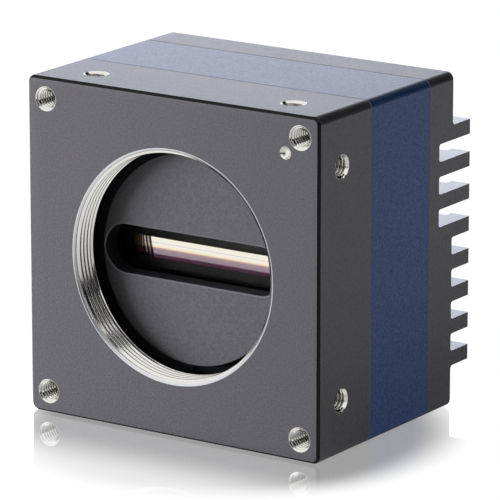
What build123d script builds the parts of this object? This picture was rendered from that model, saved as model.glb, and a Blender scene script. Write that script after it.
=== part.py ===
"""Square line-scan camera for machine vision: finned metal body, screw lens mount, sensor and boards.

Millimetres. The origin is the lens axis on the front face, +X to the right of a viewer who looks at
the front, +Y to the rear and +Z up.
"""

from build123d import *
import os

os.makedirs("parts", exist_ok=True)

# Body envelope
body_width = 62.0
corner_radius = 1.4
front_depth = 16.5
sleeve_length = 19.2
rear_depth = 7.9
front_chamfer = 0.5
seam_chamfer = 0.12
wall = 3.0

# Lens mount: screw thread, its relief groove and the raised floor behind it
lens_thread_radius = 21.0
lens_lead_in = 0.45
lens_thread_depth = 5.0
groove_radius = 21.4
groove_depth = 8.0
floor_radius = 19.4
floor_depth = 6.5
floor_rear = 10.0
floor_edge_chamfer = 0.2

# Light slot in the floor
slot_width = 8.9
slot_centres = 28.8
slot_edge_chamfer = 0.15

# Tapped holes, drawn at the outer radius of their thread, and the hole for a locating dowel
tapped_radius = 2.0
tapped_mouth_radius = 2.25
corner_hole_inset = 4.0
corner_hole_depth = 7.5
side_hole_inset = 10.0
side_hole_setback = 7.1
side_hole_depth = 6.0
dowel_inset = 7.0
dowel_radius = 1.05
dowel_mouth_radius = 1.17
dowel_depth = 3.0

# Corner posts and the long screws that hold the three housings together
post_width = 7.5
pocket_radius = 1.5
housing_screw_inset = 4.0
housing_screw_radius = 1.5
housing_screw_length = 30.0
housing_head_radius = 2.75
housing_head_height = 3.0
housing_head_chamfer = 0.25
housing_hex_width = 2.5
housing_hex_depth = 1.4
screw_clearance = 0.15
head_clearance = 0.1
thread_clearance = 0.05
blind_hole_spare = 0.6

# Cooling fins on the rear housing
fin_pitch = 6.0
fin_thickness = 2.75
fin_count = 8
top_fin_inset = 11.0
fin_height = 4.1
end_lug_height = 1.8
end_lug_width = 3.75
deep_gap_count = 3
deep_gap_depth = 4.5
gap_fillet = 0.5
shoulder_fillet = 0.7
plate_thickness = 2.0
panel_thickness = 2.2
panel_width = 48.0
pocket_over_panel = 1.5

# Housing seals
seal_width = 1.0
seal_height = 0.8
seal_inset = 0.9
seal_clearance = 0.05
seal_corner_radius = 1.0

# Boards and their fixings
board_thickness = 1.6
board_clearance = 0.5
board_corner_radius = 1.0
sensor_board_front = 14.2
processing_gap = 4.2
io_gap = 4.4
io_board_rise = 13.5
fixing_wall_distance = 4.0
fixing_post_distance = 4.5
boss_radius = 2.8
fixing_radius = 1.25
fixing_length = 4.0
fixing_clearance = 0.15
spacer_width = 4.5
fixing_head_radius = 2.1
fixing_head_height = 1.5
fixing_slot_width = 0.6
fixing_slot_depth = 0.7

# Sensor package
package_length = 46.0
package_height = 14.0
package_corner_radius = 0.8
gasket_thickness = 0.4
gasket_border = 2.2
window_length = 41.0
window_height = 11.0
window_thickness = 0.7
window_recess = 0.8
window_clearance = 0.05
cavity_length = 38.0
cavity_height = 8.6
cavity_radius = 0.5
die_front = 12.0
die_length = 34.0
die_height = 3.75
die_offset = -0.525
die_thickness = 0.6

# Processing electronics and the path of its heat
processor_width = 19.0
processor_height = 2.2
processor_inset = 13.0
processor_chamfer = 0.3
thermal_pad_thickness = 0.5
thermal_pad_margin = 1.0
spreader_width = 26.0
spreader_top_distance = 3.5
spreader_board_distance = 4.0
spreader_chamfer = 0.8
memory_length = 9.0
memory_width = 7.0
memory_height = 1.0
memory_inset = 8.0
memory_rise = 4.5
link_length = 30.0
link_width = 5.0
link_edge_radius = 0.6
sensor_link_inset = 5.5
io_link_drop = 3.5

# Network jack
connector_inset = 14.0
jack_x = -9.0
jack_width = 16.0
jack_height = 13.4
jack_length = 17.0
jack_sheet = 0.3
jack_panel_clearance = 0.15
jack_insert_setback = 0.2
socket_width = 11.8
socket_height = 6.9
socket_depth = 12.6
socket_rise = 0.4
latch_width = 6.2
latch_height = 1.5
tongue_width = 3.4
tongue_height = 1.3
contact_count = 8
contact_pitch = 1.02
contact_width = 0.4
contact_thickness = 0.3
contact_dip = 2.0
contact_mouth_setback = 1.6
contact_rest_length = 3.2
jack_light_width = 2.4
jack_light_height = 1.6
jack_light_depth = 3.0
jack_light_spacing = 11.6
jack_light_rise = 5.1
jack_lock_spacing = 20.0
jack_lock_radius = 1.0

# Round power and signal connector
plug_x = 14.0
plug_barrel_radius = 6.0
plug_barrel_length = 4.9
plug_bore_radius = 4.9
plug_body_radius = 5.6
plug_body_length = 10.6
plug_panel_clearance = 0.1
plug_flange_radius = 7.2
plug_flange_thickness = 1.2
plug_edge_chamfer = 0.3
plug_socket_depth = 7.0
plug_fit_clearance = 0.02
plug_pin_radius = 0.4
plug_pin_setback = 4.2
plug_outer_pins = 9
plug_outer_circle = 3.3
plug_inner_pins = 3
plug_inner_circle = 1.3
plug_key_width = 1.0
plug_key_height = 0.5
plug_key_setback = 1.0
plug_nut_width = 14.0
plug_nut_thickness = 2.0

# Small parts of the input and output board, and the status light
transformer_length = 15.0
transformer_width = 7.5
transformer_height = 3.6
inductor_width = 6.0
inductor_height = 3.2
supply_inset = 4.0
supply_gap = 0.6
capacitor_radius = 1.9
capacitor_height = 5.4
capacitor_post_distance = 0.9
capacitor_spacing = 4.2
small_part_chamfer = 0.4
light_x = 2.5
light_rise = 8.5
light_pipe_radius = 1.25
light_pipe_clearance = 0.1
light_pipe_stand_out = 0.5
light_pipe_chamfer = 0.3
led_width = 2.0
led_height = 1.1

# Places along the lens axis, and widths, that follow from the sizes above
half_width = body_width / 2
inner_width = body_width - 2 * wall
inner_half = inner_width / 2
between_posts = inner_width - 2 * post_width
corner_hole_pitch = body_width - 2 * corner_hole_inset
side_hole_offset = half_width - side_hole_inset
dowel_offset = half_width - dowel_inset
housing_screw_pitch = body_width - 2 * housing_screw_inset
sleeve_rear = front_depth + sleeve_length
body_rear = sleeve_rear + rear_depth
fin_tip = body_rear + fin_height
lug_tip = fin_tip + end_lug_height
gap_root = body_rear - deep_gap_depth
upper_pocket_rear = gap_root - plate_thickness
panel_front = body_rear - panel_thickness
head_seat = body_rear - housing_head_height
top_fin_z = half_width - top_fin_inset
panel_top = top_fin_z - (deep_gap_count + 0.5) * fin_pitch
lower_pocket_top = panel_top + pocket_over_panel
package_front = floor_rear + gasket_thickness
window_seat = package_front + window_recess
die_rear = die_front + die_thickness
sensor_board_rear = sensor_board_front + board_thickness
processing_board_front = sensor_board_rear + processing_gap
processing_board_rear = processing_board_front + board_thickness
io_board_front = processing_board_rear + io_gap
io_board_rear = io_board_front + board_thickness
fixing_x = inner_half - fixing_wall_distance
fixing_z = between_posts / 2 - fixing_post_distance
fixing_reach = fixing_length - board_thickness + blind_hole_spare
connector_z = connector_inset - inner_half
io_board_top = connector_z + io_board_rise
io_link_z = io_board_top - io_link_drop
sensor_link_z = inner_half - sensor_link_inset
processor_z = inner_half - processor_inset
processor_rear = processing_board_rear + processor_height
memory_x = inner_half - memory_inset
memory_z = io_board_top + memory_rise
spreader_front = processor_rear + thermal_pad_thickness
spreader_rear = upper_pocket_rear - thermal_pad_thickness
spreader_low = io_board_top + spreader_board_distance
spreader_high = inner_half - spreader_top_distance
pad_low = max(processor_z - processor_width / 2, spreader_low) + thermal_pad_margin
pad_high = min(processor_z + processor_width / 2, spreader_high) - thermal_pad_margin
jack_front = io_board_rear + jack_length
insert_front = jack_front - jack_insert_setback
socket_rear = insert_front - socket_depth
socket_z = connector_z + socket_rise
socket_roof = socket_z + socket_height / 2
socket_base = socket_z - socket_height / 2
plug_mouth = body_rear + plug_barrel_length
plug_body_front = body_rear - plug_body_length
insulator_face = plug_mouth - plug_socket_depth
supply_z = supply_inset - inner_half
capacitor_x = between_posts / 2 - capacitor_post_distance - capacitor_radius - capacitor_spacing / 2
inductor_x = capacitor_x - capacitor_spacing / 2 - capacitor_radius - supply_gap - inductor_width / 2
light_z = connector_z + light_rise
led_face = io_board_rear + led_height


def facing_front(y):
    """Sketch plane at depth y that looks out of the front: local x is X and local y is Z."""
    return Plane.XZ.offset(-y)


def facing_rear(y):
    """Sketch plane at depth y that looks out of the rear: local x is -X and local y is Z."""
    return Plane(origin=(0, y, 0), x_dir=(-1, 0, 0), z_dir=(0, 1, 0))


def cross_outline(across, between, radius):
    """Square with its four corners cut away square, all its corners rounded."""
    with BuildSketch() as outline:
        Rectangle(across, between)
        Rectangle(between, across)
        fillet(outline.vertices(), radius)
    return outline.sketch


def seal_outline(clearance):
    """Square ring that follows the wall, narrowed on both sides by the clearance."""
    outer = body_width - 2 * (seal_inset + clearance)
    inner = body_width - 2 * (seal_inset + seal_width - clearance)
    with BuildSketch() as outline:
        RectangleRounded(outer, outer, seal_corner_radius)
        RectangleRounded(inner, inner, seal_corner_radius, mode=Mode.SUBTRACT)
    return outline.sketch


def pin_places():
    """The connector's pins, in the plane's own x and y from its axis."""
    rings = ((plug_outer_pins, plug_outer_circle), (plug_inner_pins, plug_inner_circle))
    return [
        Vector(circle, 0).rotate(Axis.Z, 90 + 360 * index / count)
        for count, circle in rings
        for index in range(count)
    ]


pocket_outline = cross_outline(inner_width, between_posts, pocket_radius)
board_outline = cross_outline(
    inner_width - 2 * board_clearance, between_posts - 2 * board_clearance, board_corner_radius
)
side_planes = [
    Plane(origin=(x * half_width, 0, z * half_width), x_dir=(0, 1, 0), z_dir=(x, 0, z))
    for x, z in ((1, 0), (-1, 0), (0, 1), (0, -1))
]
fixing_places = [(x * fixing_x, z * fixing_z) for z in (1, -1) for x in (-1, 1)]
upper_fixings = fixing_places[:2]
lower_fixings = fixing_places[2:]

# Front housing: lens thread, floor with the light slot, pocket behind it, tapped holes on five sides
with BuildPart() as front_housing:
    with BuildSketch(facing_front(front_depth)):
        RectangleRounded(body_width, body_width, corner_radius)
    extrude(amount=front_depth)
    chamfer(front_housing.faces().sort_by(Axis.Y)[0].edges(), front_chamfer)
    chamfer(front_housing.faces().sort_by(Axis.Y)[-1].edges(), seam_chamfer)
    with BuildSketch(Plane.XY):
        with BuildLine():
            Polyline(
                (0, 0),
                (lens_thread_radius + lens_lead_in, 0),
                (lens_thread_radius, lens_lead_in),
                (lens_thread_radius, lens_thread_depth),
                (groove_radius, lens_thread_depth),
                (groove_radius, groove_depth),
                (floor_radius, groove_depth),
                (floor_radius, floor_depth + floor_edge_chamfer),
                (floor_radius - floor_edge_chamfer, floor_depth),
                (0, floor_depth),
                close=True,
            )
        make_face()
    revolve(axis=Axis.Y, mode=Mode.SUBTRACT)
    with BuildSketch(facing_front(front_depth)):
        add(pocket_outline)
    extrude(amount=front_depth - floor_rear, mode=Mode.SUBTRACT)
    with BuildSketch(facing_front(sensor_board_front)):
        with Locations(fixing_places):
            Circle(boss_radius)
    extrude(amount=sensor_board_front - floor_rear)
    with BuildSketch(facing_front(floor_depth)):
        SlotCenterToCenter(slot_centres, slot_width)
    extrude(amount=floor_depth - floor_rear, mode=Mode.SUBTRACT)
    floor_edges = front_housing.edges().filter_by_position(Axis.Y, floor_depth - 0.01, floor_depth + 0.01)
    chamfer(floor_edges.filter_by(lambda edge: edge.length < 2 * slot_centres), slot_edge_chamfer)
    with Locations(facing_front(0)):
        with GridLocations(corner_hole_pitch, corner_hole_pitch, 2, 2):
            CounterSinkHole(tapped_radius, tapped_mouth_radius, corner_hole_depth, 90)
        with Locations((dowel_offset, dowel_offset)):
            CounterSinkHole(dowel_radius, dowel_mouth_radius, dowel_depth, 90)
    for side in side_planes:
        with Locations(side):
            with Locations((side_hole_setback, side_hole_offset), (side_hole_setback, -side_hole_offset)):
                CounterSinkHole(tapped_radius, tapped_mouth_radius, side_hole_depth, 90)
    with Locations(facing_rear(front_depth)):
        with GridLocations(housing_screw_pitch, housing_screw_pitch, 2, 2):
            Hole(
                housing_screw_radius + thread_clearance,
                front_depth - head_seat + housing_screw_length + blind_hole_spare,
            )
    with Locations(facing_rear(sensor_board_front)):
        with Locations(fixing_places):
            Hole(fixing_radius + thread_clearance, fixing_reach)
    with BuildSketch(facing_front(front_depth)):
        add(seal_outline(0))
    extrude(amount=seal_height, mode=Mode.SUBTRACT)
front_housing.part.label = "front_housing"
export_step(front_housing.part, "parts/front_housing.step")

# Centre sleeve: coloured band of the body, with the corner posts that the long screws pass through
with BuildPart() as centre_sleeve:
    with BuildSketch(facing_front(sleeve_rear)):
        RectangleRounded(body_width, body_width, corner_radius)
    extrude(amount=sleeve_length)
    chamfer(centre_sleeve.faces().sort_by(Axis.Y)[0].edges(), seam_chamfer)
    chamfer(centre_sleeve.faces().sort_by(Axis.Y)[-1].edges(), seam_chamfer)
    with BuildSketch(facing_front(sleeve_rear)):
        add(pocket_outline)
    extrude(amount=sleeve_length, mode=Mode.SUBTRACT)
    with Locations(facing_rear(sleeve_rear)):
        with GridLocations(housing_screw_pitch, housing_screw_pitch, 2, 2):
            Hole(housing_screw_radius + screw_clearance, sleeve_length)
centre_sleeve.part.label = "centre_sleeve"
export_step(centre_sleeve.part, "parts/centre_sleeve.step")

# Rear housing: comb of cooling fins, and the connector panel between the ends of the lower fins
with BuildPart() as rear_housing:
    with BuildSketch(Plane.YZ.offset(-half_width)) as comb:
        with Locations((sleeve_rear + rear_depth / 2, 0)):
            Rectangle(rear_depth, body_width)
        for fin in range(fin_count):
            with Locations(((body_rear + lug_tip) / 2, top_fin_z - fin * fin_pitch)):
                Rectangle(lug_tip - body_rear, fin_thickness)
        for gap in range(deep_gap_count):
            with Locations((body_rear - deep_gap_depth / 2, top_fin_z - (gap + 0.5) * fin_pitch)):
                Rectangle(deep_gap_depth, fin_pitch - fin_thickness, mode=Mode.SUBTRACT)
        roots = comb.vertices().filter_by_position(Axis.X, gap_root - 0.01, body_rear + 0.01)
        roots = roots.filter_by(lambda corner: abs(corner.Y) < half_width - 1).sort_by(Axis.Y)
        fillet(roots[1:-1], gap_fillet)
        ends = comb.vertices().filter_by_position(Axis.X, body_rear - 0.01, body_rear + 0.01)
        ends = ends.filter_by(lambda corner: abs(corner.Y) < half_width - 1).sort_by(Axis.Y)
        fillet([ends[0], ends[-1]], shoulder_fillet)
    extrude(amount=body_width)
    with BuildSketch(facing_front(lug_tip)):
        RectangleRounded(body_width, body_width, corner_radius)
    extrude(amount=lug_tip - sleeve_rear, mode=Mode.INTERSECT)
    chamfer(rear_housing.faces().sort_by(Axis.Y)[0].edges(), seam_chamfer)
    with BuildSketch(facing_front(lug_tip)):
        Rectangle(body_width - 2 * end_lug_width, body_width)
    extrude(amount=end_lug_height, mode=Mode.SUBTRACT)
    with BuildSketch(facing_front(fin_tip)):
        with Locations((0, panel_top - half_width)):
            Rectangle(panel_width, body_width)
    extrude(amount=fin_height, mode=Mode.SUBTRACT)
    with BuildSketch(facing_front(upper_pocket_rear)):
        add(pocket_outline)
    extrude(amount=upper_pocket_rear - sleeve_rear, mode=Mode.SUBTRACT)
    with BuildSketch(facing_front(panel_front)):
        add(pocket_outline)
        with Locations((0, lower_pocket_top - half_width)):
            Rectangle(body_width, body_width, mode=Mode.INTERSECT)
    extrude(amount=panel_front - sleeve_rear, mode=Mode.SUBTRACT)
    with Locations(facing_rear(body_rear)):
        with GridLocations(housing_screw_pitch, housing_screw_pitch, 2, 2):
            CounterBoreHole(
                housing_screw_radius + screw_clearance,
                housing_head_radius + head_clearance,
                housing_head_height,
                rear_depth,
            )
    with BuildSketch(facing_front(lug_tip)):
        with Locations((jack_x, connector_z)):
            Rectangle(jack_width + 2 * jack_panel_clearance, jack_height + 2 * jack_panel_clearance)
            with GridLocations(0, jack_lock_spacing, 1, 2):
                Circle(jack_lock_radius)
        with Locations((plug_x, connector_z)):
            Circle(plug_body_radius + plug_panel_clearance)
        with Locations((light_x, light_z)):
            Circle(light_pipe_radius + light_pipe_clearance)
    extrude(amount=lug_tip - upper_pocket_rear, mode=Mode.SUBTRACT)
    with BuildSketch(facing_rear(sleeve_rear)):
        add(seal_outline(0))
    extrude(amount=seal_height, mode=Mode.SUBTRACT)
rear_housing.part.label = "rear_housing"
export_step(rear_housing.part, "parts/rear_housing.step")

# Front seal: square ring in the front housing's rear face, pressed by the sleeve
with BuildPart() as front_seal:
    with BuildSketch(facing_front(front_depth)):
        add(seal_outline(seal_clearance))
    extrude(amount=seal_height)
front_seal.part.label = "front_seal"
export_step(front_seal.part, "parts/front_seal.step")

# Rear seal: the same ring in the rear housing's front face
with BuildPart() as rear_seal:
    with BuildSketch(facing_rear(sleeve_rear)):
        add(seal_outline(seal_clearance))
    extrude(amount=seal_height)
rear_seal.part.label = "rear_seal"
export_step(rear_seal.part, "parts/rear_seal.step")

# Housing screws: four long cap screws through the rear housing and the sleeve into the front housing
with BuildPart() as housing_screws:
    with BuildSketch(facing_front(head_seat)):
        with GridLocations(housing_screw_pitch, housing_screw_pitch, 2, 2):
            Circle(housing_screw_radius)
    extrude(amount=housing_screw_length)
    with BuildSketch(facing_rear(head_seat)):
        with GridLocations(housing_screw_pitch, housing_screw_pitch, 2, 2):
            Circle(housing_head_radius)
    extrude(amount=housing_head_height)
    chamfer(housing_screws.faces().group_by(Axis.Y)[-1].edges(), housing_head_chamfer)
    with BuildSketch(facing_front(body_rear)):
        with GridLocations(housing_screw_pitch, housing_screw_pitch, 2, 2):
            RegularPolygon(housing_hex_width / 2, 6, major_radius=False)
    extrude(amount=housing_hex_depth, mode=Mode.SUBTRACT)
housing_screws.part.label = "housing_screws"
export_step(housing_screws.part, "parts/housing_screws.step")

# Light gasket: soft frame between the floor and the sensor package
with BuildPart() as light_gasket:
    with BuildSketch(facing_front(package_front)):
        RectangleRounded(package_length, package_height, package_corner_radius)
        RectangleRounded(
            package_length - 2 * gasket_border,
            package_height - 2 * gasket_border,
            package_corner_radius,
            mode=Mode.SUBTRACT,
        )
    extrude(amount=gasket_thickness)
light_gasket.part.label = "light_gasket"
export_step(light_gasket.part, "parts/light_gasket.step")

# Sensor package: ceramic block with a stepped recess for the window and the die
with BuildPart() as sensor_package:
    with BuildSketch(facing_front(sensor_board_front)):
        RectangleRounded(package_length, package_height, package_corner_radius)
    extrude(amount=sensor_board_front - package_front)
    with BuildSketch(facing_front(window_seat)):
        Rectangle(window_length + 2 * window_clearance, window_height + 2 * window_clearance)
    extrude(amount=window_recess, mode=Mode.SUBTRACT)
    with BuildSketch(facing_front(die_rear)):
        RectangleRounded(cavity_length, cavity_height, cavity_radius)
    extrude(amount=die_rear - window_seat, mode=Mode.SUBTRACT)
sensor_package.part.label = "sensor_package"
export_step(sensor_package.part, "parts/sensor_package.step")

# Sensor window: flat glass on the ledge of the package
with BuildPart() as sensor_window:
    with BuildSketch(facing_front(window_seat)):
        Rectangle(window_length, window_height)
    extrude(amount=window_thickness)
sensor_window.part.label = "sensor_window"
export_step(sensor_window.part, "parts/sensor_window.step")

# Sensor die: long strip of silicon on the floor of the package
with BuildPart() as sensor_die:
    with BuildSketch(facing_front(die_rear)):
        with Locations((0, die_offset)):
            Rectangle(die_length, die_height)
    extrude(amount=die_thickness)
sensor_die.part.label = "sensor_die"
export_step(sensor_die.part, "parts/sensor_die.step")

# Sensor board and processing board: cross-shaped to clear the corner posts
with BuildPart() as sensor_board:
    with BuildSketch(facing_front(sensor_board_rear)):
        add(board_outline)
        with Locations(fixing_places):
            Circle(fixing_radius + fixing_clearance, mode=Mode.SUBTRACT)
    extrude(amount=board_thickness)
sensor_board.part.label = "sensor_board"
export_step(sensor_board.part, "parts/sensor_board.step")

with BuildPart() as processing_board:
    with BuildSketch(facing_front(processing_board_rear)):
        add(board_outline)
        with Locations(fixing_places):
            Circle(fixing_radius + fixing_clearance, mode=Mode.SUBTRACT)
    extrude(amount=board_thickness)
processing_board.part.label = "processing_board"
export_step(processing_board.part, "parts/processing_board.step")

# Input and output board: the lower part of the same outline
with BuildPart() as io_board:
    with BuildSketch(facing_front(io_board_rear)):
        add(board_outline)
        with Locations((0, io_board_top - half_width)):
            Rectangle(body_width, body_width, mode=Mode.INTERSECT)
        with Locations(lower_fixings):
            Circle(fixing_radius + fixing_clearance, mode=Mode.SUBTRACT)
    extrude(amount=board_thickness)
io_board.part.label = "io_board"
export_step(io_board.part, "parts/io_board.step")


# Board spacers between the sensor board and the processing board: stud in front, tapped hole behind
with BuildPart() as board_spacers:
    with BuildSketch(facing_front(processing_board_front)):
        with Locations(fixing_places):
            RegularPolygon(spacer_width / 2, 6, major_radius=False)
    extrude(amount=processing_gap)
    with BuildSketch(facing_front(sensor_board_rear)):
        with Locations(fixing_places):
            Circle(fixing_radius)
    extrude(amount=fixing_length)
    with BuildSketch(facing_front(processing_board_front)):
        with Locations(fixing_places):
            Circle(fixing_radius + thread_clearance)
    extrude(amount=fixing_reach, mode=Mode.SUBTRACT)
board_spacers.part.label = "board_spacers"
export_step(board_spacers.part, "parts/board_spacers.step")

# Spacers that carry the input and output board
with BuildPart() as io_spacers:
    with BuildSketch(facing_front(io_board_front)):
        with Locations(lower_fixings):
            RegularPolygon(spacer_width / 2, 6, major_radius=False)
    extrude(amount=io_gap)
    with BuildSketch(facing_front(processing_board_rear)):
        with Locations(lower_fixings):
            Circle(fixing_radius)
    extrude(amount=fixing_length)
    with BuildSketch(facing_front(io_board_front)):
        with Locations(lower_fixings):
            Circle(fixing_radius + thread_clearance)
    extrude(amount=fixing_reach, mode=Mode.SUBTRACT)
io_spacers.part.label = "io_spacers"
export_step(io_spacers.part, "parts/io_spacers.step")

# Screws of the two rear boards, with slotted heads
with BuildPart() as processing_board_screws:
    with BuildSketch(facing_front(processing_board_rear)):
        with Locations(upper_fixings):
            Circle(fixing_radius)
    extrude(amount=fixing_length)
    with BuildSketch(facing_rear(processing_board_rear)):
        with Locations(upper_fixings):
            Circle(fixing_head_radius)
    extrude(amount=fixing_head_height)
    with BuildSketch(facing_front(processing_board_rear + fixing_head_height)):
        with Locations(upper_fixings):
            Rectangle(2 * fixing_head_radius, fixing_slot_width)
    extrude(amount=fixing_slot_depth, mode=Mode.SUBTRACT)
processing_board_screws.part.label = "processing_board_screws"
export_step(processing_board_screws.part, "parts/processing_board_screws.step")

with BuildPart() as io_board_screws:
    with BuildSketch(facing_front(io_board_rear)):
        with Locations(lower_fixings):
            Circle(fixing_radius)
    extrude(amount=fixing_length)
    with BuildSketch(facing_rear(io_board_rear)):
        with Locations(lower_fixings):
            Circle(fixing_head_radius)
    extrude(amount=fixing_head_height)
    with BuildSketch(facing_front(io_board_rear + fixing_head_height)):
        with Locations(lower_fixings):
            Rectangle(2 * fixing_head_radius, fixing_slot_width)
    extrude(amount=fixing_slot_depth, mode=Mode.SUBTRACT)
io_board_screws.part.label = "io_board_screws"
export_step(io_board_screws.part, "parts/io_board_screws.step")

# Board-to-board connectors
with BuildPart() as sensor_link:
    with BuildSketch(facing_front(processing_board_front)):
        with Locations((0, sensor_link_z)):
            RectangleRounded(link_length, link_width, link_edge_radius)
    extrude(amount=processing_gap)
sensor_link.part.label = "sensor_link"
export_step(sensor_link.part, "parts/sensor_link.step")

with BuildPart() as io_link:
    with BuildSketch(facing_front(io_board_front)):
        with Locations((0, io_link_z)):
            RectangleRounded(link_length, link_width, link_edge_radius)
    extrude(amount=io_gap)
io_link.part.label = "io_link"
export_step(io_link.part, "parts/io_link.step")

# Processor on the upper rear of the processing board
with BuildPart() as processor:
    with BuildSketch(facing_rear(processing_board_rear)):
        with Locations((0, processor_z)):
            Rectangle(processor_width, processor_width)
    extrude(amount=processor_height)
    chamfer(processor.faces().sort_by(Axis.Y)[-1].edges(), processor_chamfer)
processor.part.label = "processor"
export_step(processor.part, "parts/processor.step")

# Memory chips beside the processor
with BuildPart() as memory_chips:
    with BuildSketch(facing_rear(processing_board_rear)):
        with Locations((memory_x, memory_z), (-memory_x, memory_z)):
            Rectangle(memory_length, memory_width)
    extrude(amount=memory_height)
memory_chips.part.label = "memory_chips"
export_step(memory_chips.part, "parts/memory_chips.step")

# Soft pad between the processor and the heat spreader
with BuildPart() as processor_pad:
    with BuildSketch(facing_rear(processor_rear)):
        with Locations((0, (pad_low + pad_high) / 2)):
            Rectangle(processor_width - 2 * thermal_pad_margin, pad_high - pad_low)
    extrude(amount=thermal_pad_thickness)
processor_pad.part.label = "processor_pad"
export_step(processor_pad.part, "parts/processor_pad.step")

# Heat spreader: block that carries the processor's heat to the finned wall
with BuildPart() as heat_spreader:
    with BuildSketch(facing_rear(spreader_front)):
        with Locations((0, (spreader_low + spreader_high) / 2)):
            Rectangle(spreader_width, spreader_high - spreader_low)
    extrude(amount=spreader_rear - spreader_front)
    chamfer(heat_spreader.edges().filter_by(Axis.Y), spreader_chamfer)
heat_spreader.part.label = "heat_spreader"
export_step(heat_spreader.part, "parts/heat_spreader.step")

# Soft pad between the heat spreader and the rear housing
with BuildPart() as rear_wall_pad:
    with BuildSketch(facing_rear(spreader_rear)):
        with Locations((0, (spreader_low + spreader_high) / 2)):
            Rectangle(
                spreader_width - 2 * thermal_pad_margin,
                spreader_high - spreader_low - 2 * thermal_pad_margin,
            )
    extrude(amount=thermal_pad_thickness)
rear_wall_pad.part.label = "rear_wall_pad"
export_step(rear_wall_pad.part, "parts/rear_wall_pad.step")

# Network jack shell: sheet metal box, open to the rear of the camera
with BuildPart() as jack_shell:
    with BuildSketch(facing_rear(io_board_rear)):
        with Locations((-jack_x, connector_z)):
            Rectangle(jack_width, jack_height)
    extrude(amount=jack_length)
    with BuildSketch(facing_front(jack_front)):
        with Locations((jack_x, connector_z)):
            Rectangle(jack_width - 2 * jack_sheet, jack_height - 2 * jack_sheet)
    extrude(amount=jack_length - jack_sheet, mode=Mode.SUBTRACT)
jack_shell.part.label = "jack_shell"
export_step(jack_shell.part, "parts/jack_shell.step")

# Network jack insert: moulded block with the stepped plug socket and two pockets for lights
with BuildPart() as jack_insert:
    with BuildSketch(facing_front(insert_front)):
        with Locations((jack_x, connector_z)):
            Rectangle(jack_width - 2 * jack_sheet, jack_height - 2 * jack_sheet)
    extrude(amount=insert_front - io_board_rear - jack_sheet)
    with BuildSketch(facing_front(insert_front)):
        with Locations((jack_x, socket_z)):
            Rectangle(socket_width, socket_height)
        with Locations((jack_x, socket_base - latch_height / 2)):
            Rectangle(latch_width, latch_height)
        with Locations((jack_x, socket_base - latch_height - tongue_height / 2)):
            Rectangle(tongue_width, tongue_height)
    extrude(amount=socket_depth, mode=Mode.SUBTRACT)
    with BuildSketch(facing_front(insert_front)):
        with Locations((jack_x, connector_z + jack_light_rise)):
            with GridLocations(jack_light_spacing, 0, 2, 1):
                Rectangle(jack_light_width, jack_light_height)
    extrude(amount=jack_light_depth, mode=Mode.SUBTRACT)
jack_insert.part.label = "jack_insert"
export_step(jack_insert.part, "parts/jack_insert.step")

# Network jack contacts: bent strips that slope from the roof of the socket to its rear wall
with BuildPart() as jack_contacts:
    first_contact = jack_x - contact_pitch * (contact_count - 1) / 2
    for contact in range(contact_count):
        with BuildSketch(Plane.YZ.offset(first_contact + contact * contact_pitch)):
            with BuildLine():
                mouth = insert_front - contact_mouth_setback
                bend = socket_rear + contact_rest_length
                Polyline(
                    (mouth, socket_roof),
                    (bend, socket_roof - contact_dip),
                    (socket_rear, socket_roof - contact_dip),
                    (socket_rear, socket_roof - contact_dip - contact_thickness),
                    (bend, socket_roof - contact_dip - contact_thickness),
                    (mouth, socket_roof - contact_thickness),
                    close=True,
                )
            make_face()
        extrude(amount=contact_width / 2, both=True)
jack_contacts.part.label = "jack_contacts"
export_step(jack_contacts.part, "parts/jack_contacts.step")

# Network jack lights: two clear blocks in the insert's pockets
with BuildPart() as jack_lights:
    with BuildSketch(facing_front(insert_front)):
        with Locations((jack_x, connector_z + jack_light_rise)):
            with GridLocations(jack_light_spacing, 0, 2, 1):
                Rectangle(jack_light_width, jack_light_height)
    extrude(amount=jack_light_depth)
jack_lights.part.label = "jack_lights"
export_step(jack_lights.part, "parts/jack_lights.step")

# Power connector shell: flange on the panel, barrel outside, body through the panel, key in the bore
with BuildPart() as power_connector_shell:
    with BuildSketch(facing_front(plug_mouth)):
        with Locations((plug_x, connector_z)):
            Circle(plug_barrel_radius)
    extrude(amount=plug_barrel_length)
    chamfer(power_connector_shell.edges().sort_by(Axis.Y)[-1], plug_edge_chamfer)
    with BuildSketch(facing_rear(body_rear)):
        with Locations((-plug_x, connector_z)):
            Circle(plug_flange_radius)
    extrude(amount=plug_flange_thickness)
    with BuildSketch(facing_front(body_rear)):
        with Locations((plug_x, connector_z)):
            Circle(plug_body_radius)
    extrude(amount=plug_body_length)
    with BuildSketch(facing_front(plug_mouth)):
        with Locations((plug_x, connector_z)):
            Circle(plug_bore_radius)
    extrude(amount=plug_mouth - plug_body_front, mode=Mode.SUBTRACT)
    with BuildSketch(facing_front(plug_mouth - plug_key_setback)):
        with Locations((plug_x, connector_z + plug_bore_radius)):
            Rectangle(plug_key_width, 2 * plug_key_height)
    extrude(amount=plug_socket_depth - plug_key_setback)
power_connector_shell.part.label = "power_connector_shell"
export_step(power_connector_shell.part, "parts/power_connector_shell.step")

# Power connector insulator: disc that holds the pins
with BuildPart() as power_connector_insulator:
    with BuildSketch(facing_front(insulator_face)):
        with Locations((plug_x, connector_z)):
            Circle(plug_bore_radius - plug_fit_clearance)
            with Locations(*pin_places()):
                Circle(plug_pin_radius + plug_fit_clearance, mode=Mode.SUBTRACT)
    extrude(amount=insulator_face - plug_body_front)
power_connector_insulator.part.label = "power_connector_insulator"
export_step(power_connector_insulator.part, "parts/power_connector_insulator.step")

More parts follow.
